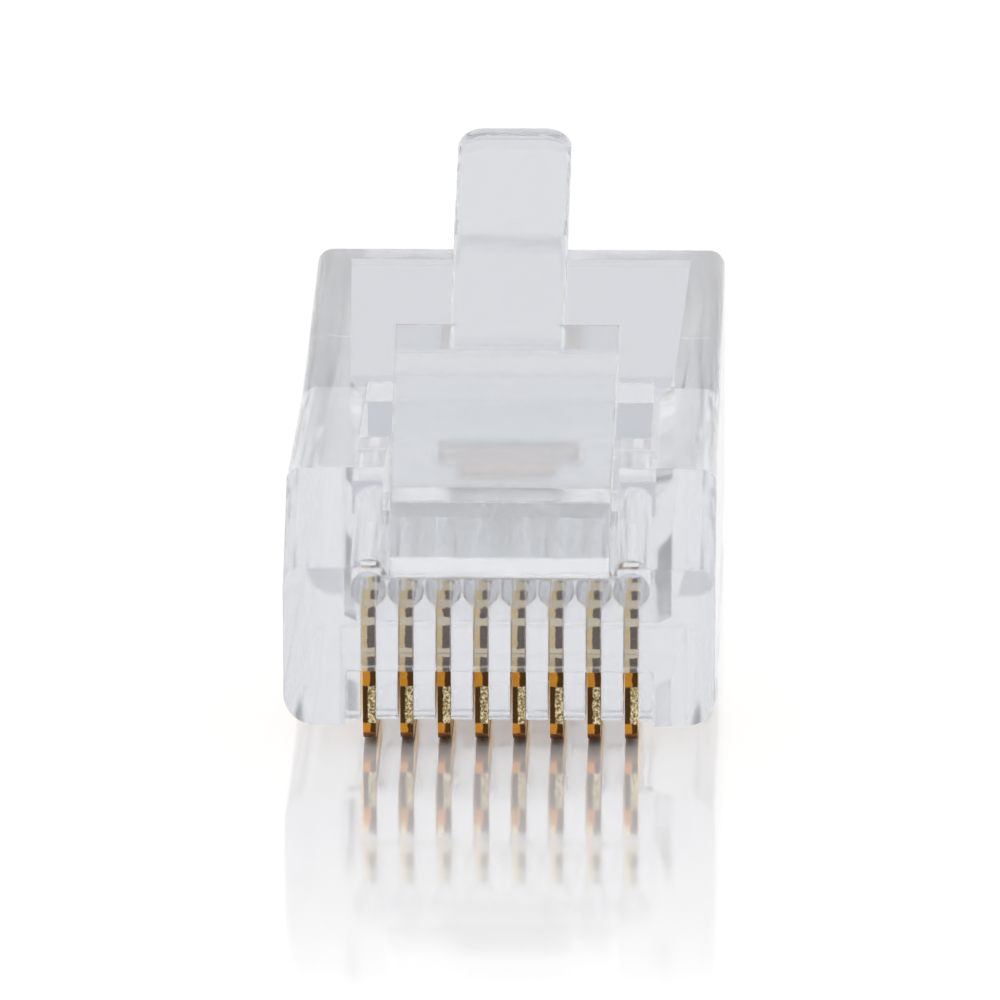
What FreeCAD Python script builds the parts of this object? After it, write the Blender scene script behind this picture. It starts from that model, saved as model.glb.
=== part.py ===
import FreeCAD, Part
import os
import re
import Sketcher

# An 8-position, 8-contact modular plug, as supplied: contacts raised, latch free, no cable in it.
# Every profile is drawn in the plug's own terms: depth is measured from the nose towards the cable end,
# height is measured from the face that the contacts stand out of. The row frame has +X across the contacts,
# +Y from the nose to the cable end, +Z up to the latch, and its origin under the middle of the plug.
SIZES = [
    # outer form of the housing
    ("body_width", 11.68),
    ("body_length", 21.46),
    ("nose_height", 6.60),
    ("rear_height", 8.00),
    ("nose_face_height", 4.40),
    ("nose_slope_depth", 2.30),
    ("ramp_depth", 11.00),
    ("low_edge_round", 0.85),
    ("high_edge_round", 0.45),
    # contact slots and the open window at the nose
    ("contact_count", 8),
    ("contact_pitch", 1.016),
    ("contact_thickness", 0.35),
    ("contact_side_gap", 0.04),
    ("contact_end_gap", 0.10),
    ("contact_depth", 0.95),
    ("contact_length", 4.40),
    ("contact_height", 3.75),
    ("contact_overhang", 0.75),
    ("contact_nose_round", 0.50),
    ("barb_size", 0.06),
    ("barb_height", 1.82),
    ("tine_height", 0.75),
    ("tine_width", 0.62),
    ("crimp_travel", 1.00),
    ("window_height", 1.50),
    ("rib_recess", 0.20),
    ("rib_round", 0.40),
    # conductor channels, duct, funnel and jacket cavity
    ("channel_diameter", 1.00),
    ("channel_height", 3.60),
    ("channel_depth", 1.15),
    ("guide_end_depth", 6.00),
    ("duct_side_gap", 0.09),
    ("duct_ceiling", 4.25),
    ("funnel_depth", 11.60),
    ("cavity_end_depth", 12.65),
    ("cavity_end_width", 9.06),
    ("cavity_width", 9.74),
    ("bottom_wall", 0.90),
    ("top_wall", 0.95),
    # trough that the pressed latch sinks into
    ("trough_floor", 5.10),
    ("trough_end_depth", 11.40),
    ("wide_trough_depth", 5.50),
    ("wide_trough_width", 8.00),
    ("latch_side_gap", 0.10),
    # latch
    ("hinge_depth", 0.33),
    ("hinge_height", 4.45),
    ("root_radius", 0.42),
    ("seat_gap", 0.03),
    ("root_angle", 40.0),
    ("arm_angle", 23.6),
    ("tab_angle", 30.5),
    ("tip_angle", 21.8),
    ("press_angle", 13.0),
    ("press_gap", 0.06),
    ("crease_depth", 1.75),
    ("shoulder_depth", 8.36),
    ("bend_depth", 12.00),
    ("tip_depth", 16.20),
    ("root_width", 5.93),
    ("shoulder_width", 6.17),
    ("tab_width", 3.18),
    ("arm_thickness", 1.17),
    ("tab_thickness", 1.05),
    ("tab_corner_round", 0.75),
    ("tab_edge_round", 0.25),
    ("shoulder_foot_round", 0.22),
    # cable clamp: a T-shaped tongue in the trough's floor
    ("clamp_hinge_depth", 6.60),
    ("clamp_root_radius", 0.25),
    ("clamp_neck_width", 2.50),
    ("clamp_head_width", 3.90),
    ("clamp_neck_length", 1.75),
    ("clamp_shoulder_length", 0.55),
    ("clamp_head_length", 1.45),
    ("clamp_rise", 0.35),
    ("clamp_drop", 0.45),
    ("clamp_gap", 0.12),
    # how far a cut is drawn past the solid that it cuts
    ("overcut", 1.00),
]
TOLERANCE = 1e-4

NAMES = sorted((name for name, _ in SIZES), key=len, reverse=True)
WORDS = re.compile(r"\b(" + "|".join(NAMES) + r")\b")

doc = FreeCAD.newDocument("modular_plug")
sheet = doc.addObject("Spreadsheet::Sheet", "Sizes")
for row, (alias, size) in enumerate(SIZES, start=1):
    sheet.set(f"A{row}", alias.replace("_", " "))
    sheet.set(f"B{row}", str(size))
    sheet.setAlias(f"B{row}", alias)
doc.recompute()


# ---------------------------------------------------------------- expressions and parametric helpers


def number(formula):
    """The present value of a formula written with the sheet's names."""
    return float(sheet.evalExpression(formula))


def bind(owner, path, formula):
    """Tie one property or constraint of owner to a formula written with the sheet's names."""
    owner.setExpression(path, WORDS.sub(r"Sizes.\1", formula))


def new_body(label):
    body = doc.addObject("PartDesign::Body", label)
    body.Label = label
    return body


def origin_item(body, role):
    return next(item for item in body.Origin.OriginFeatures if item.Role == role)


def new_sketch(body, label, role, offset=None):
    """A sketch on one of the body's own planes, moved along the plane's normal by a formula."""
    sketch = body.newObject("Sketcher::SketchObject", label)
    sketch.AttachmentSupport = [(origin_item(body, role), "")]
    sketch.MapMode = "FlatFace"
    if offset:
        bind(sketch, "AttachmentOffset.Base.z", offset)
    return sketch


def hold(sketch, geometry, vertex, corner):
    """Fix one point of a sketch at a corner given as two formulas."""
    for kind, formula in zip(("DistanceX", "DistanceY"), corner):
        index = sketch.addConstraint(Sketcher.Constraint(kind, -1, 1, geometry, vertex, number(formula)))
        bind(sketch, f"Constraints[{index}]", formula)


def draw_outline(sketch, corners):
    """A closed outline of straight sides through corners given as pairs of formulas."""
    points = [FreeCAD.Vector(number(across), number(up), 0) for across, up in corners]
    first = sketch.GeometryCount
    count = len(points)
    for index, point in enumerate(points):
        sketch.addGeometry(Part.LineSegment(point, points[(index + 1) % count]))
    for index in range(count):
        following = first + (index + 1) % count
        sketch.addConstraint(Sketcher.Constraint("Coincident", first + index, 2, following, 1))
    for index, corner in enumerate(corners):
        hold(sketch, first + index, 1, corner)


def draw_circle(sketch, centre, radius):
    middle = FreeCAD.Vector(number(centre[0]), number(centre[1]), 0)
    index = sketch.addGeometry(Part.Circle(middle, FreeCAD.Vector(0, 0, 1), number(radius)))
    hold(sketch, index, 3, centre)
    size = sketch.addConstraint(Sketcher.Constraint("Radius", index, number(radius)))
    bind(sketch, f"Constraints[{size}]", radius)


def draw_rectangle(sketch, half_width, low, high):
    draw_outline(sketch, [(f"-({half_width})", low), (half_width, low), (half_width, high),
                          (f"-({half_width})", high)])


def add_feature(body, kind, label, sketch, length, across=True):
    """A pad or pocket of a sketch, centred on its plane or to one side; the solid has to change."""
    before = body.Shape.Volume if body.Tip else 0.0
    feature = body.newObject(f"PartDesign::{kind}", label)
    feature.Profile = sketch
    feature.SideType = "Symmetric" if across else "One side"
    bind(feature, "Length", length)
    sketch.Visibility = False
    doc.recompute()
    change = feature.Shape.Volume - before
    if change == 0 or (change > 0) != (kind == "Pad"):
        raise RuntimeError(f"{label} of {body.Label} leaves the solid as it was")
    return feature


def profile(body, kind, label, corners, width, offset=None):
    """A pad or pocket of a side profile, of equal width to both sides of its plane."""
    sketch = new_sketch(body, f"{label}_profile", "YZ_Plane", offset)
    draw_outline(sketch, corners)
    return add_feature(body, kind, label, sketch, width)


def round_bar(body, kind, label, centre, radius, width):
    """A pad or pocket of a round bar that lies across the plug."""
    sketch = new_sketch(body, f"{label}_profile", "YZ_Plane")
    draw_circle(sketch, centre, radius)
    return add_feature(body, kind, label, sketch, width)


def repeat_contacts(body, feature):
    """Repeat a feature once for each contact, one pitch apart across the plug."""
    pattern = body.newObject("PartDesign::LinearPattern", f"{feature.Label}_row")
    pattern.Originals = [feature]
    pattern.Direction = (origin_item(body, "X_Axis"), [""])
    bind(pattern, "Length", ROW_LENGTH)
    bind(pattern, "Occurrences", "contact_count")
    body.Tip = pattern
    doc.recompute()
    return pattern


def soften(body, kind, label, radius, chosen):
    """Round or chamfer those edges of the body's solid for which chosen(edge's box) is true."""
    base = body.Tip
    edges = [f"Edge{index}" for index, edge in enumerate(base.Shape.Edges, start=1) if chosen(edge.BoundBox)]
    if not edges:
        raise RuntimeError(f"{label} of {body.Label} finds no edge")
    feature = body.newObject(f"PartDesign::{kind}", label)
    feature.Base = (base, edges)
    bind(feature, "Radius" if kind == "Fillet" else "Size", radius)
    doc.recompute()
    return feature


def near(value, formula):
    return abs(value - number(formula)) < TOLERANCE


def place(body, across="0"):
    """Stand the plug's own depth and height on the row frame."""
    bind(body, "Placement.Base.x", across)
    bind(body, "Placement.Base.y", "-body_length / 2")
    bind(body, "Placement.Base.z", "contact_overhang")


def mitre(corner, angle_before, angle_after, thickness):
    """The inner corner of a bent strip, below an outer corner, between two slopes."""
    middle = f"(({angle_before} + {angle_after}) / 2)"
    reach = f"({thickness} / cos(({angle_after} - {angle_before}) / 2))"
    return (f"{corner[0]} + {reach} * sin({middle})", f"{corner[1]} - {reach} * cos({middle})")


def pressed(corner):
    """Where a corner of the latch's underside stops when the latch is pressed, with a gap below it."""
    along = f"({corner[0]} - hinge_depth)"
    up = f"({corner[1]} - hinge_height)"
    return (f"(hinge_depth + {along} * cos(press_angle) + {up} * sin(press_angle))",
            f"(hinge_height - {along} * sin(press_angle) + {up} * cos(press_angle) - press_gap)")


# ---------------------------------------------------------------- places that pieces share

ROW_LENGTH = "(contact_count - 1) * contact_pitch"
FIRST_CONTACT = f"-{ROW_LENGTH} / 2"
SLOT_WIDTH = "contact_thickness + 2 * contact_side_gap"
SLOT_FRONT = "contact_depth - contact_end_gap"
SLOT_REAR = "contact_depth + contact_length + contact_end_gap"
TINE_TOP = "(contact_height - contact_overhang)"
SLOT_TOP = f"({TINE_TOP} + crimp_travel + contact_side_gap)"
DUCT_WIDTH = "contact_count * contact_pitch + 2 * duct_side_gap"
CHANNEL_BOTTOM = "(channel_height - channel_diameter / 2)"
RAMP_RISE = "((rear_height - nose_height) / (body_length - ramp_depth))"

HINGE = ("hinge_depth", "hinge_height")
WEB = "(2 * root_radius)"
WEB_TOP = ("(hinge_depth - root_radius * sin(root_angle))", "(hinge_height + root_radius * cos(root_angle))")
WEB_FOOT = ("(hinge_depth + root_radius * sin(root_angle))", "(hinge_height - root_radius * cos(root_angle))")
CREASE = ("crease_depth", f"({WEB_TOP[1]} + (crease_depth - {WEB_TOP[0]}) * tan(root_angle))")
SHOULDER = ("shoulder_depth", f"({CREASE[1]} + (shoulder_depth - crease_depth) * tan(arm_angle))")
BEND = ("bend_depth", f"({SHOULDER[1]} + (bend_depth - shoulder_depth) * tan(tab_angle))")
TIP = ("tip_depth", f"({BEND[1]} + (tip_depth - bend_depth) * tan(tip_angle))")
SHOULDER_FOOT = ("shoulder_depth", f"({SHOULDER[1]} - arm_thickness / cos(arm_angle))")
CREASE_FOOT = mitre(CREASE, "root_angle", "arm_angle", WEB)

CLAMP_HINGE = ("clamp_hinge_depth", "((trough_floor + duct_ceiling) / 2)")
CLAMP_NECK_END = "(clamp_hinge_depth + clamp_neck_length)"
CLAMP_HEAD_START = f"({CLAMP_NECK_END} + clamp_shoulder_length)"
CLAMP_END = f"({CLAMP_HEAD_START} + clamp_head_length)"


# ---------------------------------------------------------------- housing


def cut_nose_window(body):
    """The low opening at the nose: the ribs between the slots stand back in it, with rounded feet."""
    corners = [("-overcut", "-overcut"), ("rib_recess", "-overcut"), ("rib_recess", "window_height"),
               ("-overcut", "window_height")]
    profile(body, "Pocket", "nose_window", corners, f"{DUCT_WIDTH}")
    soften(body, "Fillet", "rib_feet", "rib_round",
           lambda box: near(box.YMin, "rib_recess") and near(box.YMax, "rib_recess") and near(box.ZMax, "0"))


def cut_latch_trough(body):
    """The trough under the latch, with the round seat of its root and room for the pressed arm."""
    width = "shoulder_width + 2 * latch_side_gap"
    slope = "(root_angle - press_angle)"
    foot = (f"(hinge_depth + (root_radius + press_gap) * sin{slope})",
            f"(hinge_height - (root_radius + press_gap) * cos{slope})")
    bend = pressed(CREASE_FOOT)
    arm_end = pressed(SHOULDER_FOOT)
    floor_start = (f"({bend[0]} + (trough_floor - {bend[1]}) * ({arm_end[0]} - {bend[0]})"
                   f" / ({arm_end[1]} - {bend[1]}))", "trough_floor")
    above = "rear_height + overcut"
    corners = [("-overcut", "hinge_height"), HINGE, foot, bend, floor_start,
               ("trough_end_depth", "trough_floor"), ("trough_end_depth", above), ("-overcut", above)]
    profile(body, "Pocket", "latch_trough", corners, width)
    round_bar(body, "Pocket", "root_seat", HINGE, "root_radius + seat_gap", width)
    corners = [("wide_trough_depth", "trough_floor"), ("trough_end_depth", "trough_floor"),
               ("trough_end_depth", above), ("wide_trough_depth", above)]
    profile(body, "Pocket", "wide_trough", corners, "wide_trough_width")


def ceiling(depth):
    """Height of the jacket cavity's roof, one wall under the ramp, at a given depth."""
    return f"(rear_height - top_wall - (body_length - {depth}) * {RAMP_RISE})"


def clamp_outline(gap):
    """The clamp's T-shaped outline seen from above, grown by a gap on its sides and at its end."""
    neck = f"clamp_neck_width / 2 + {gap}"
    head = f"clamp_head_width / 2 + {gap}"
    right = [(neck, "clamp_hinge_depth"), (neck, f"{CLAMP_NECK_END} - {gap}"),
             (head, f"{CLAMP_HEAD_START} - {gap}"), (head, f"{CLAMP_END} + {gap}")]
    return right + [(f"-({across})", depth) for across, depth in reversed(right)]


def cut_clamp_window(body):
    """The window in the trough's floor that the clamp hangs in, with the round seat of its root."""
    sketch = new_sketch(body, "clamp_window_profile", "XY_Plane", "trough_floor")
    draw_outline(sketch, clamp_outline("clamp_gap"))
    add_feature(body, "Pocket", "clamp_window", sketch, "trough_floor - duct_ceiling", across=False)
    round_bar(body, "Pocket", "clamp_seat", CLAMP_HINGE, "clamp_root_radius + seat_gap",
              "clamp_neck_width + 2 * clamp_gap")


def taper_cut(body, label, wide, narrow):
    """A cut that narrows forwards between two rectangles, each given as its depth, width and roof."""
    sections = []
    for end, (depth, width, roof) in (("rear", wide), ("front", narrow)):
        sketch = new_sketch(body, f"{label}_{end}", "XZ_Plane", f"-{depth}")
        draw_rectangle(sketch, f"({width}) / 2", "bottom_wall", roof)
        sections.append(sketch)
    cut = body.newObject("PartDesign::SubtractiveLoft", label)
    cut.Profile = sections[0]
    cut.Sections = sections[1:]
    cut.Ruled = True
    doc.recompute()


def cut_cable_way(body):
    """The tapered jacket cavity, the funnel that narrows from it and the duct that leads to the channels."""
    mouth = ("body_length", "cavity_width", ceiling("body_length"))
    end = ("cavity_end_depth", "cavity_end_width", ceiling("cavity_end_depth"))
    throat = ("funnel_depth", DUCT_WIDTH, "duct_ceiling")
    taper_cut(body, "jacket_cavity", mouth, end)
    taper_cut(body, "funnel", end, throat)
    corners = [("guide_end_depth", CHANNEL_BOTTOM), ("funnel_depth", "bottom_wall"),
               ("funnel_depth", "duct_ceiling"), ("guide_end_depth", "duct_ceiling")]
    profile(body, "Pocket", "duct", corners, DUCT_WIDTH)


def cut_channels_and_slots(body):
    """Eight round conductor channels, and eight narrow slots that the contacts slide up in."""
    start = new_sketch(body, "channel_profile", "XZ_Plane", "-channel_depth")
    draw_circle(start, (FIRST_CONTACT, "channel_height"), "channel_diameter / 2")
    channel = add_feature(body, "Pocket", "channel", start, "guide_end_depth - channel_depth", across=False)
    repeat_contacts(body, channel)
    corners = [("-overcut", "-overcut"), (SLOT_REAR, "-overcut"), (SLOT_REAR, SLOT_TOP),
               (SLOT_FRONT, SLOT_TOP), (SLOT_FRONT, "window_height"), ("-overcut", "window_height")]
    slot = profile(body, "Pocket", "slot", corners, SLOT_WIDTH, FIRST_CONTACT)
    repeat_contacts(body, slot)


def make_housing():
    body = new_body("housing")
    corners = [("0", "0"), ("body_length", "0"), ("body_length", "rear_height"),
               ("ramp_depth", "nose_height"), ("nose_slope_depth", "nose_height"), ("0", "nose_face_height")]
    profile(body, "Pad", "block", corners, "body_width")
    side = "body_width / 2"
    soften(body, "Fillet", "low_edges", "low_edge_round",
           lambda box: near(abs(box.XMin), side) and near(abs(box.XMax), side) and near(box.ZMax, "0")
           and box.YLength > TOLERANCE)
    soften(body, "Fillet", "high_edges", "high_edge_round",
           lambda box: near(abs(box.XMin), side) and near(abs(box.XMax), side) and box.YLength > TOLERANCE
           and box.ZMin > number("nose_face_height") - TOLERANCE)
    cut_nose_window(body)
    cut_latch_trough(body)
    cut_cable_way(body)
    cut_clamp_window(body)
    cut_channels_and_slots(body)
    place(body)
    return body


# ---------------------------------------------------------------- latch


def make_latch():
    """The locking lever: round root, bent arm with two locking shoulders, and a narrower finger tab."""
    body = new_body("latch")
    arm = [WEB_FOOT, CREASE_FOOT, SHOULDER_FOOT, SHOULDER, CREASE, WEB_TOP]
    profile(body, "Pad", "arm", arm, "shoulder_width")
    round_bar(body, "Pad", "root", HINGE, "root_radius", "shoulder_width")
    taper_arm(body)
    front = [("-overcut", "0"), ("0", "0"), ("0", "nose_height"), ("-overcut", "nose_height")]
    profile(body, "Pocket", "root_face", front, "shoulder_width + overcut")
    tip_foot = ("tip_depth + tab_thickness * sin(tip_angle)", f"{TIP[1]} - tab_thickness * cos(tip_angle)")
    tab = [SHOULDER_FOOT, mitre(SHOULDER, "arm_angle", "tab_angle", "tab_thickness"),
           mitre(BEND, "tab_angle", "tip_angle", "tab_thickness"), tip_foot, TIP, BEND, SHOULDER]
    profile(body, "Pad", "tab", tab, "tab_width")
    soften(body, "Fillet", "tab_corners", "tab_corner_round",
           lambda box: box.XLength < TOLERANCE and box.YMin > number("tip_depth") - TOLERANCE)
    soften(body, "Fillet", "tab_edges", "tab_edge_round",
           lambda box: near(abs(box.XMin), "tab_width / 2") and box.XLength < TOLERANCE
           and box.YMin > number("shoulder_depth") - TOLERANCE and box.YLength > number("tab_thickness"))
    soften(body, "Fillet", "shoulder_feet", "shoulder_foot_round",
           lambda box: near(box.YMin, "shoulder_depth") and near(box.YMax, "shoulder_depth")
           and near(box.ZMax, SHOULDER_FOOT[1]) and box.XMax * box.XMin > 0)
    place(body)
    return body


def taper_arm(body):
    """The arm is a little narrower at its root than at its shoulders."""
    sketch = new_sketch(body, "taper_profile", "XY_Plane")
    for side in ("", "-"):
        beyond = f"{side}(shoulder_width / 2 + overcut)"
        draw_outline(sketch, [(f"{side}root_width / 2", "-overcut"), (f"{side}root_width / 2", "0"),
                              (f"{side}shoulder_width / 2", "shoulder_depth"), (beyond, "shoulder_depth"),
                              (beyond, "-overcut")])
    add_feature(body, "Pocket", "taper", sketch, f"4 * {TIP[1]}")


# ---------------------------------------------------------------- cable clamp


def make_cable_clamp():
    """A T-shaped tongue on a round root, with a ridged head: crimping swings it down on to the cable once."""
    body = new_body("cable_clamp")
    low = f"({CLAMP_HINGE[1]} - clamp_root_radius)"
    high = f"({CLAMP_HINGE[1]} + clamp_root_radius)"
    corners = [("clamp_hinge_depth", low), (CLAMP_HEAD_START, low), (CLAMP_END, f"{low} - clamp_drop"),
               (CLAMP_END, high), (f"{CLAMP_END} - clamp_rise", f"{high} + clamp_rise"),
               (CLAMP_HEAD_START, f"{high} + clamp_rise"), (CLAMP_NECK_END, high),
               ("clamp_hinge_depth", high)]
    profile(body, "Pad", "tongue", corners, "clamp_head_width")
    round_bar(body, "Pad", "tongue_root", CLAMP_HINGE, "clamp_root_radius", "clamp_head_width")
    plan = new_sketch(body, "neck_profile", "XY_Plane")
    for side in ("", "-"):
        neck = f"{side}clamp_neck_width / 2"
        head = f"{side}clamp_head_width / 2"
        beyond = f"{side}clamp_head_width"
        draw_outline(plan, [(neck, "0"), (neck, CLAMP_NECK_END), (head, CLAMP_HEAD_START),
                            (beyond, CLAMP_HEAD_START), (beyond, "0")])
    add_feature(body, "Pocket", "neck", plan, "2 * rear_height")
    place(body)
    return body


# ---------------------------------------------------------------- contacts


def tine(start):
    """Three corners of one pointed tine that begins at a given depth."""
    base = f"{TINE_TOP} - tine_height"
    return [(start, base), (f"{start} + tine_width / 2", TINE_TOP), (f"{start} + tine_width", base)]


def make_contact(index):
    """One stamped blade: flat crest below, rounded nose, a barb on each end and three tines on top."""
    body = new_body(f"contact_{index + 1}")
    front = "contact_depth"
    rear = "(contact_depth + contact_length)"
    crest = "-contact_overhang"
    middle = f"{front} + (contact_length - tine_width) / 2"
    corners = [(front, crest), (rear, crest), (rear, "barb_height"),
               (f"{rear} + barb_size", "barb_height + barb_size"), (rear, "barb_height + 3 * barb_size"),
               (rear, f"{TINE_TOP} - tine_height")]
    corners += list(reversed(tine(f"{rear} - tine_width - barb_size")))
    corners += list(reversed(tine(middle)))
    corners += list(reversed(tine(f"{front} + barb_size")))
    corners += [(front, f"{TINE_TOP} - tine_height"), (front, "barb_height + 3 * barb_size"),
                (f"{front} - barb_size", "barb_height + barb_size"), (front, "barb_height")]
    profile(body, "Pad", "blade", corners, "contact_thickness")
    soften(body, "Fillet", "crest_ends", "contact_nose_round",
           lambda box: box.XLength > TOLERANCE and near(box.ZMax, crest) and box.YLength < TOLERANCE)
    place(body, f"{FIRST_CONTACT} + {index} * contact_pitch")
    return body


# ---------------------------------------------------------------- build, check and write

bodies = [make_housing(), make_latch(), make_cable_clamp()]
bodies += [make_contact(index) for index in range(int(number("contact_count")))]
doc.recompute()

for item in doc.Objects:
    if "Invalid" in item.State or "Error" in item.State:
        raise RuntimeError(f"{item.Label} failed: {item.State}")
for body in bodies:
    if body.Shape.isNull() or not body.Shape.isValid() or len(body.Shape.Solids) != 1:
        raise RuntimeError(f"{body.Label} is not one valid solid")

os.makedirs("parts", exist_ok=True)
for body in bodies:
    body.Shape.exportStep(f"parts/{body.Label}.step")
    print(body.Label, round(body.Shape.Volume, 3))
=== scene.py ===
"""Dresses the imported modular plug: clear polycarbonate body, latch and clamp, and eight gold blades."""

import logging
import math
from dataclasses import dataclass, field
from enum import Enum

import bmesh
import bpy
from mathutils import Matrix, Quaternion, Vector


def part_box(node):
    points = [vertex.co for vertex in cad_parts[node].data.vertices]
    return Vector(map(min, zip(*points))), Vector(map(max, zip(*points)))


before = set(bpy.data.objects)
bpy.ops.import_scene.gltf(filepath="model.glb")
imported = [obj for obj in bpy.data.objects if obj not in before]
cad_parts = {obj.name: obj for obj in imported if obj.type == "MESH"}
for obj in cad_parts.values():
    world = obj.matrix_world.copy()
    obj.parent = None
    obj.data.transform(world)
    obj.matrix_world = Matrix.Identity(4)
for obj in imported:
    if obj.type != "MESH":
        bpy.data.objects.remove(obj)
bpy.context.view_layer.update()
LOG = logging.getLogger("plug")
MM = 0.001
Colour = tuple[float, float, float]
Feed = float | Colour | bpy.types.NodeSocket


class Tree:
    """A short way to write a shader tree."""

    def __init__(self, tree: bpy.types.NodeTree) -> None:
        """Empties the tree that it writes to.

        Args:
            tree: The node tree of a material or of the world.
        """
        self.tree = tree
        tree.nodes.clear()

    def add(self, kind: str, **sockets: Feed) -> bpy.types.Node:
        """Adds a node and feeds its inputs.

        Args:
            kind: The node's type name, without the "ShaderNode" in front.
            sockets: Inputs by name, with "_" for a space: a plain value, or another node's output.

        Returns:
            The new node.
        """
        node = self.tree.nodes.new(f"ShaderNode{kind}")
        for name, value in sockets.items():
            self.feed(node, name.replace("_", " "), value)
        return node

    def feed(self, node: bpy.types.Node, name: str | int, value: Feed) -> None:
        """Links an output to one input of a node, or sets that input.

        Args:
            node: The node that is fed.
            name: The input's name or number.
            value: A plain value, or another node's output.
        """
        if isinstance(value, bpy.types.NodeSocket):
            self.tree.links.new(value, node.inputs[name])
        else:
            if isinstance(value, tuple) and len(value) == 3 and node.inputs[name].type == "RGBA":
                value = (*value, 1.0)
            node.inputs[name].default_value = value

    def maths(self, operation: str, *values: Feed) -> bpy.types.NodeSocket:
        """Adds a Math node.

        Args:
            operation: What it does, by Blender's name.
            values: Its inputs, in order.

        Returns:
            The result.
        """
        node = self.tree.nodes.new("ShaderNodeMath")
        node.operation = operation
        for index, value in enumerate(values):
            self.feed(node, index, value)
        return node.outputs[0]

    def blend(self, share: Feed, low: Feed, high: Feed) -> bpy.types.NodeSocket:
        """Adds a mix of two colours.

        Args:
            share: How much of the second colour shows, from 0 to 1.
            low: The colour at a share of 0.
            high: The colour at a share of 1.

        Returns:
            The mixed colour.
        """
        node = self.tree.nodes.new("ShaderNodeMix")
        node.data_type = "RGBA"
        self.feed(node, 0, share)
        for index, value in ((6, low), (7, high)):
            self.feed(node, index, value)
        return node.outputs[2]

    def ramp(self, value: Feed, stops: list[tuple[float, Colour]]) -> bpy.types.NodeSocket:
        """Adds a colour ramp.

        Args:
            value: Where the ramp is read.
            stops: Its places and their colours, lowest first.

        Returns:
            The colour at that place.
        """
        node = self.tree.nodes.new("ShaderNodeValToRGB")
        elements = node.color_ramp.elements
        while len(elements) < len(stops):
            elements.new(0.5)
        for element, (place, colour) in zip(elements, stops):
            element.position = place
            element.color = (*colour, 1.0)
        self.feed(node, 0, value)
        return node.outputs[0]


class Polish(Enum):
    """How the mould that shaped a piece was finished, as the roughness that it leaves."""

    MIRROR = 0.065
    GLOSS = 0.075


@dataclass(frozen=True)
class ClearPlastic:
    """Clear polycarbonate, a little cool and a little hazy, with the flow marks that moulding leaves.

    Its colour is counted only at the first wall that a ray meets, on its way in and out. The cool cast is the
    plastic's own, and the grey depth is painted shade that stands in for darker surroundings seen through
    clear plastic. Behind that wall a paler inner colour is counted instead, which on the clamp carries a warm
    painted shade. That keeps many walls in a row clear. It isn't how real plastic absorbs.
    """

    name: str
    polish: Polish = Polish.MIRROR
    # Mostly painted shade: the first wall's grey stands for darker surroundings seen through it; the cool
    # cast is its own.
    tint_and_shade: Colour = (0.57, 0.59, 0.635)
    # The walls behind the first: near clear here, a warm painted shade where the clamp overrides it.
    inner_tint_and_shade: Colour = (0.975, 0.982, 0.99)
    ior: float = 1.585
    clarity: float = 0.98
    flow_scale: float = 220.0
    flow_depth: float = 0.05 * MM
    flow_strength: float = 0.06
    grain_scale: float = 2600.0
    grain_share: float = 0.5
    first_wall: float = 1.5
    edge_round: float = 0.09 * MM
    edge_samples: int = 2
    shadow_tint: Colour = (0.985, 0.988, 0.99)

    def make(self) -> bpy.types.Material:
        """Makes the material.

        Returns:
            A clear material that lets light straight through to the floor.
        """
        material = bpy.data.materials.new(self.name)
        material.use_nodes = True
        tree = Tree(material.node_tree)
        place = tree.add("TexCoord").outputs["Object"]
        flow = tree.add("TexNoise", Vector=place, Scale=self.flow_scale, Detail=0.0).outputs["Fac"]
        grain = tree.add("TexNoise", Vector=place, Scale=self.grain_scale, Detail=0.0).outputs["Fac"]
        base = self.polish.value
        rough = tree.maths("MULTIPLY_ADD", grain, self.grain_share * base,
                           (1.0 - self.grain_share / 2.0) * base)
        soft = tree.add("Bevel", Radius=self.edge_round)
        soft.samples = self.edge_samples
        bump = tree.add("Bump", Strength=self.flow_strength, Distance=self.flow_depth, Height=flow,
                        Normal=soft.outputs[0])
        path = tree.add("LightPath")
        behind = tree.maths("GREATER_THAN", path.outputs["Ray Depth"], self.first_wall)
        # Painted shade: the first wall that a ray meets is greyed, and the walls behind take the inner
        # colour.
        colour = tree.blend(behind, self.tint_and_shade, self.inner_tint_and_shade)
        plastic = tree.add("BsdfPrincipled", Base_Color=colour, Roughness=rough, IOR=self.ior,
                           Transmission_Weight=self.clarity, Normal=bump.outputs[0])
        passing = tree.add("BsdfTransparent", Color=self.shadow_tint)
        straight = tree.maths("MAXIMUM", path.outputs["Is Shadow Ray"], path.outputs["Is Diffuse Ray"])
        mix = tree.add("MixShader", Fac=straight)
        tree.feed(mix, 1, plastic.outputs[0])
        tree.feed(mix, 2, passing.outputs[0])
        tree.add("OutputMaterial", Surface=mix.outputs[0])
        return material


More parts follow.
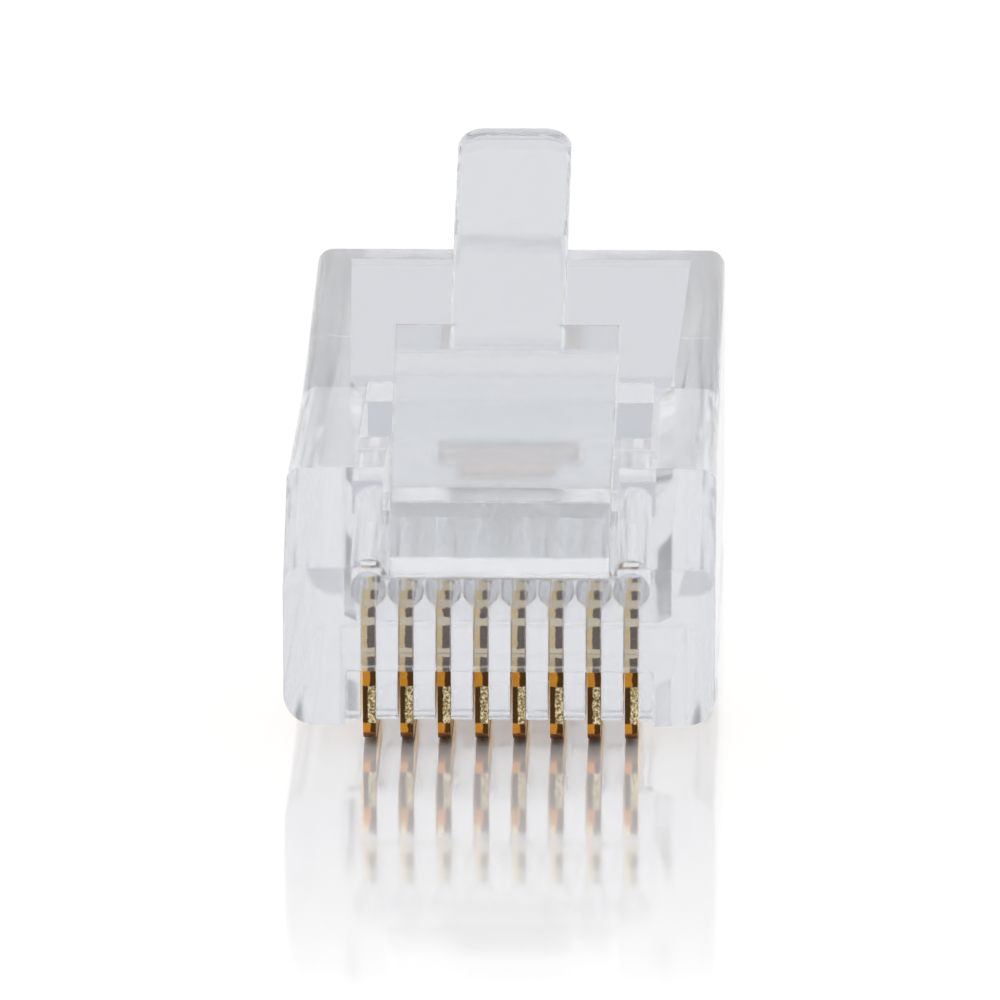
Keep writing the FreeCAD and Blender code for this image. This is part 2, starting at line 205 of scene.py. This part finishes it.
@dataclass(frozen=True)
class GoldBlade:
    """Gold over nickel on a stamped blade: plated sides, and sheared edges banded by height.

    The bands are partly real shear zones, bare copper and wear on the edge, and partly painted reflection and
    shade.
    Heights are measured from the blade's lowest edge, and places across it from its middle.
    """

    slot: str = "gold_contact"
    pitch: float = 1.016 * MM
    plated: Colour = (0.86, 0.58, 0.20)
    # Partly painted highlight, partly wear: the colour of the pale bands.
    pale: Colour = (1.00, 0.86, 0.60)
    # Partly the metal's own colour, partly painted light on the lit side of the upper edge.
    peach_and_painted_light: Colour = (1.00, 0.74, 0.34)
    copper: Colour = (0.64, 0.27, 0.03)
    # Painted dark reflection: the near black on the burnished part of the sheared edge.
    burnish_painted_dark: Colour = (0.085, 0.040, 0.013)
    # Painted reflection: the brown of the rounded foot stands for what it mirrors.
    foot_painted_reflection: Colour = (0.26, 0.12, 0.04)
    grain_low: Colour = (0.17, 0.12, 0.05)
    grain_mid: Colour = (0.54, 0.43, 0.22)
    grain_high: Colour = (0.97, 0.89, 0.62)
    foot_top: float = 0.24 * MM
    nose_top: float = 0.53 * MM
    grain_top: float = 1.57 * MM
    window_top: float = 2.07 * MM
    # Heights of the pale bands: partly painted highlight, partly wear.
    highlight_and_wear_bands: tuple[tuple[float, float], ...] = ((2.49 * MM, 2.74 * MM), (3.32 * MM, 3.52 * MM))
    shear_left: float = -0.03 * MM
    copper_right: float = 0.02 * MM
    step_width: float = 0.03 * MM
    wander: float = 0.09 * MM
    wander_scale: float = 5200.0
    grain_scale: float = 15000.0
    grain_detail: float = 2.0
    grain_mix: float = 0.7
    grain_stops: tuple[float, float, float] = (0.38, 0.50, 0.64)
    grain_depth: float = 0.02 * MM
    grain_strength: float = 0.5
    rough_least: float = 0.08
    rough_range: float = 0.5
    side_limit: float = 0.8

    def above(self, tree: Tree, height: bpy.types.NodeSocket, level: float) -> bpy.types.NodeSocket:
        """1 above a level on the blade and 0 below it, with a soft step between."""
        step = tree.maths("MULTIPLY_ADD", tree.maths("SUBTRACT", height, level), 1.0 / self.step_width, 0.5)
        return tree.maths("MINIMUM", tree.maths("MAXIMUM", step, 0.0), 1.0)

    def make(self) -> bpy.types.Material:
        """Makes the material.

        Returns:
            A metal material whose bands follow the blade's height and thickness.
        """
        material = bpy.data.materials.new(self.slot)
        material.use_nodes = True
        tree = Tree(material.node_tree)
        place = tree.add("TexCoord").outputs["Object"]
        split = tree.add("SeparateXYZ", Vector=place)
        wander = tree.add("TexNoise", Vector=place, Scale=self.wander_scale, Detail=2.0).outputs["Fac"]
        drift = tree.maths("MULTIPLY", tree.maths("SUBTRACT", wander, 0.5), self.wander)
        height = tree.maths("ADD", split.outputs["Z"], drift)
        turns = tree.maths("FRACT", tree.maths("MULTIPLY", split.outputs["X"], 1.0 / self.pitch))
        centred = tree.maths("MULTIPLY", tree.maths("SUBTRACT", turns, 0.5), self.pitch)
        across = tree.maths("ADD", centred, drift)
        right = self.above(tree, across, self.shear_left)
        far_right = self.above(tree, across, self.copper_right)
        grain = tree.add("TexNoise", Vector=place, Scale=self.grain_scale, Detail=self.grain_detail,
                         Roughness=self.grain_mix).outputs["Fac"]
        spots = tree.ramp(grain, list(zip(self.grain_stops,
                                          (self.grain_low, self.grain_mid, self.grain_high))))
        # Painted dark reflection on one side of the sheared edge, fracture grain on the other.
        sheared = tree.blend(right, self.burnish_painted_dark, spots)
        # Bare copper on one side, painted dark reflection on the other.
        burnish_and_dark_reflection = tree.blend(far_right, self.copper, self.burnish_painted_dark)
        # Painted light and shade across the upper edge, partly the metal's colour.
        upper = tree.blend(right, self.peach_and_painted_light, self.burnish_painted_dark)
        # Painted reflection on the foot.
        foot = tree.blend(self.above(tree, height, self.foot_top), self.foot_painted_reflection, burnish_and_dark_reflection)
        colour = tree.blend(self.above(tree, height, self.nose_top), foot, sheared)
        colour = tree.blend(self.above(tree, height, self.grain_top), colour, burnish_and_dark_reflection)
        colour = tree.blend(self.above(tree, height, self.window_top), colour, upper)
        # Pale bands of painted highlight and wear.
        for low, high in self.highlight_and_wear_bands:
            band = tree.maths("SUBTRACT", self.above(tree, height, low), self.above(tree, height, high))
            colour = tree.blend(band, colour, self.pale)
        normal = tree.add("NewGeometry").outputs["True Normal"]
        facing = tree.add("SeparateXYZ", Vector=normal).outputs["X"]
        side = tree.maths("GREATER_THAN", tree.maths("ABSOLUTE", facing), self.side_limit)
        colour = tree.blend(side, colour, self.plated)
        rough = tree.maths("MULTIPLY_ADD", grain, self.rough_range, self.rough_least)
        bump = tree.add("Bump", Strength=self.grain_strength, Distance=self.grain_depth, Height=grain)
        metal = tree.add("BsdfPrincipled", Base_Color=colour, Roughness=rough, Metallic=1.0,
                         Normal=bump.outputs[0])
        tree.add("OutputMaterial", Surface=metal.outputs[0])
        return material


@dataclass
class Studio:
    """A white floor, soft light from all around and a long lens, as for a small product.

    Floor and backdrop look the same straight on, in reflections and through the clear plastic. Only the light
    that the floor throws back on the plug is held down.
    """

    target: Vector = field(default_factory=lambda: Vector((-0.274, -0.73, 4.383)) * MM)
    azimuth: float = 1.784
    elevation: float = 15.013
    roll: float = -0.151
    distance: float = 317.63 * MM
    lens: float = 411.1
    sensor: float = 36.0
    near_clip: float = 0.01
    far_clip: float = 10.0
    floor_size: float = 1.2
    floor_gap: float = 0.004 * MM
    floor_seen: Colour = (1.10, 1.10, 1.10)
    floor_bounce: Colour = (0.72, 0.75, 0.81)
    floor_gloss: Colour = (1.0, 0.975, 0.965)
    floor_roughness: float = 0.08
    sheen: float = 0.60
    far_sheen: float = 0.05
    sheen_start: float = -12.0 * MM
    sheen_end: float = -41.0 * MM
    rear_round: float = 0.533 * MM
    front_wall: Colour = (0.66, 0.65, 0.64)
    side_wall: Colour = (0.85, 0.87, 0.91)
    back_wall: Colour = (1.0, 1.0, 1.0)
    wall_places: tuple[float, float, float] = (0.0, 0.5, 0.9)
    ceiling: Colour = (1.05, 1.05, 1.05)
    bounces: int = 24
    clear_bounces: int = 40

    def make_camera(self) -> None:
        """Places the camera by its angles about the plug."""
        data = bpy.data.cameras.new("camera")
        data.lens = self.lens
        data.sensor_width = self.sensor
        data.clip_start = self.near_clip
        data.clip_end = self.far_clip
        camera = bpy.data.objects.new("camera", data)
        bpy.context.scene.collection.objects.link(camera)
        turn, rise = math.radians(self.azimuth), math.radians(self.elevation)
        back = Vector((math.sin(turn) * math.cos(rise), -math.cos(turn) * math.cos(rise),
                       math.sin(rise)))
        look = (-back).to_track_quat("-Z", "Y")
        camera.rotation_mode = "QUATERNION"
        camera.rotation_quaternion = Quaternion(back, math.radians(self.roll)) @ look
        camera.location = self.target + back * self.distance
        bpy.context.scene.camera = camera

    def rests_on(self) -> tuple[Vector, Vector]:
        """The two lines that the plug lies on.

        Returns:
            The rear end of the contacts' flat edges, and the rear bottom edge of the body.
        """
        blade_low, blade_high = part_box("contact_1")
        body_low, body_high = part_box("housing")
        return (Vector((0.0, blade_high[1] - self.rear_round, blade_low[2])),
                Vector((0.0, body_high[1], body_low[2])))

    def make_floor(self) -> None:
        """A white, glossy sheet that the plug lies on, whose sheen dies away in front of it."""
        mesh = bpy.data.meshes.new("floor")
        sheet = bmesh.new()
        bmesh.ops.create_grid(sheet, x_segments=1, y_segments=1, size=self.floor_size)
        crest, heel = self.rests_on()
        lean = math.atan2(heel.z - crest.z, heel.y - crest.y)
        bmesh.ops.rotate(sheet, verts=sheet.verts, matrix=Matrix.Rotation(lean, 3, "X"))
        bmesh.ops.translate(sheet, verts=sheet.verts, vec=crest - Vector((0.0, 0.0, self.floor_gap)))
        sheet.to_mesh(mesh)
        sheet.free()
        floor = bpy.data.objects.new("floor", mesh)
        bpy.context.scene.collection.objects.link(floor)
        material = bpy.data.materials.new("white_acrylic")
        material.use_nodes = True
        tree = Tree(material.node_tree)
        path = tree.add("LightPath")
        bounced = tree.maths("MAXIMUM", path.outputs["Is Glossy Ray"], path.outputs["Is Transmission Ray"])
        seen = tree.maths("MAXIMUM", path.outputs["Is Camera Ray"], bounced)
        colour = tree.blend(seen, self.floor_bounce, self.floor_seen)
        body = tree.add("BsdfDiffuse", Color=colour)
        gloss = tree.add("BsdfGlossy", Color=self.floor_gloss, Roughness=self.floor_roughness)
        depth = tree.add("SeparateXYZ", Vector=tree.add("TexCoord").outputs["Object"]).outputs["Y"]
        near = tree.add("MapRange", Value=depth, From_Min=self.sheen_end, From_Max=self.sheen_start)
        near.interpolation_type = "SMOOTHSTEP"
        share = tree.maths("MULTIPLY_ADD", near.outputs[0], self.sheen, self.far_sheen)
        mix = tree.add("MixShader", Fac=share)
        tree.feed(mix, 1, body.outputs[0])
        tree.feed(mix, 2, gloss.outputs[0])
        tree.add("OutputMaterial", Surface=mix.outputs[0])
        mesh.materials.append(material)

    def make_world(self) -> None:
        """Soft light from all around: white behind and above, pale at the sides and light grey in front."""
        world = bpy.data.worlds.new("studio")
        bpy.context.scene.world = world
        world.use_nodes = True
        tree = Tree(world.node_tree)
        ray = tree.add("TexCoord").outputs["Generated"]
        split = tree.add("SeparateXYZ", Vector=ray)
        round_to_back = tree.maths("MULTIPLY_ADD", split.outputs["Y"], 0.5, 0.5)
        walls = tree.ramp(round_to_back,
                          list(zip(self.wall_places, (self.front_wall, self.side_wall, self.back_wall))))
        up = tree.maths("MAXIMUM", split.outputs["Z"], 0.0)
        tent = tree.blend(up, walls, self.ceiling)
        back = tree.add("Background", Color=tent, Strength=1.0)
        tree.add("OutputWorld", Surface=back.outputs[0])

    def build(self) -> None:
        """Sets the whole studio up."""
        self.make_camera()
        self.make_floor()
        self.make_world()
        scene = bpy.context.scene
        scene.view_settings.view_transform = "Standard"
        scene.cycles.max_bounces = self.bounces
        scene.cycles.transmission_bounces = self.bounces
        scene.cycles.glossy_bounces = self.bounces
        scene.cycles.transparent_max_bounces = self.clear_bounces


@dataclass
class Piece:
    """A part of the plug that the frame carries as one or more nodes."""

    nodes: tuple[str, ...]
    finish: ClearPlastic | GoldBlade

    def dress(self) -> list[str]:
        """Gives every node of this part its finish.

        Returns:
            A line on each node, for the log.
        """
        material = self.finish.make()
        for node in self.nodes:
            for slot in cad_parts[node].material_slots:
                slot.material = material
        return [f"{node} wears {material.name}" for node in self.nodes]


@dataclass
class PlugBody(Piece):
    """The moulded shell, with its channels, guides, cavity and latch root."""

    nodes: tuple[str, ...] = ("housing",)
    finish: ClearPlastic = ClearPlastic("clear_polycarbonate")


@dataclass
class PressLatch(Piece):
    """The springy latch, a little hazier than the body, with a paler painted shade."""

    nodes: tuple[str, ...] = ("latch",)
    # Painted shade: a lighter grey than the body's on the latch's first wall.
    finish: ClearPlastic = ClearPlastic("satin_polycarbonate", Polish.GLOSS, (0.66, 0.68, 0.71),
                                        clarity=0.97)


@dataclass
class CableClamp(Piece):
    """The T-shaped tongue that is pressed down on the cable, with a warm painted shade where it is seen
    through other walls.
    """

    nodes: tuple[str, ...] = ("cable_clamp",)
    # Painted shade: a warm inner colour where the clamp is seen through other walls.
    finish: ClearPlastic = ClearPlastic("clamp_polycarbonate", Polish.MIRROR,
                                        inner_tint_and_shade=(0.85, 0.79, 0.75))


@dataclass
class ContactRow(Piece):
    """Eight stamped blades, side by side in their channels."""

    nodes: tuple[str, ...] = tuple(f"contact_{place}" for place in range(1, 9))
    finish: GoldBlade = GoldBlade()


def main() -> None:
    """Builds the studio and dresses every part, in order."""
    logging.basicConfig(level=logging.INFO, format="%(name)s: %(message)s")
    Studio().build()
    for part in (PlugBody(), PressLatch(), CableClamp(), ContactRow()):
        for line in part.dress():
            LOG.info(line)


if __name__ == "__main__":
    main()
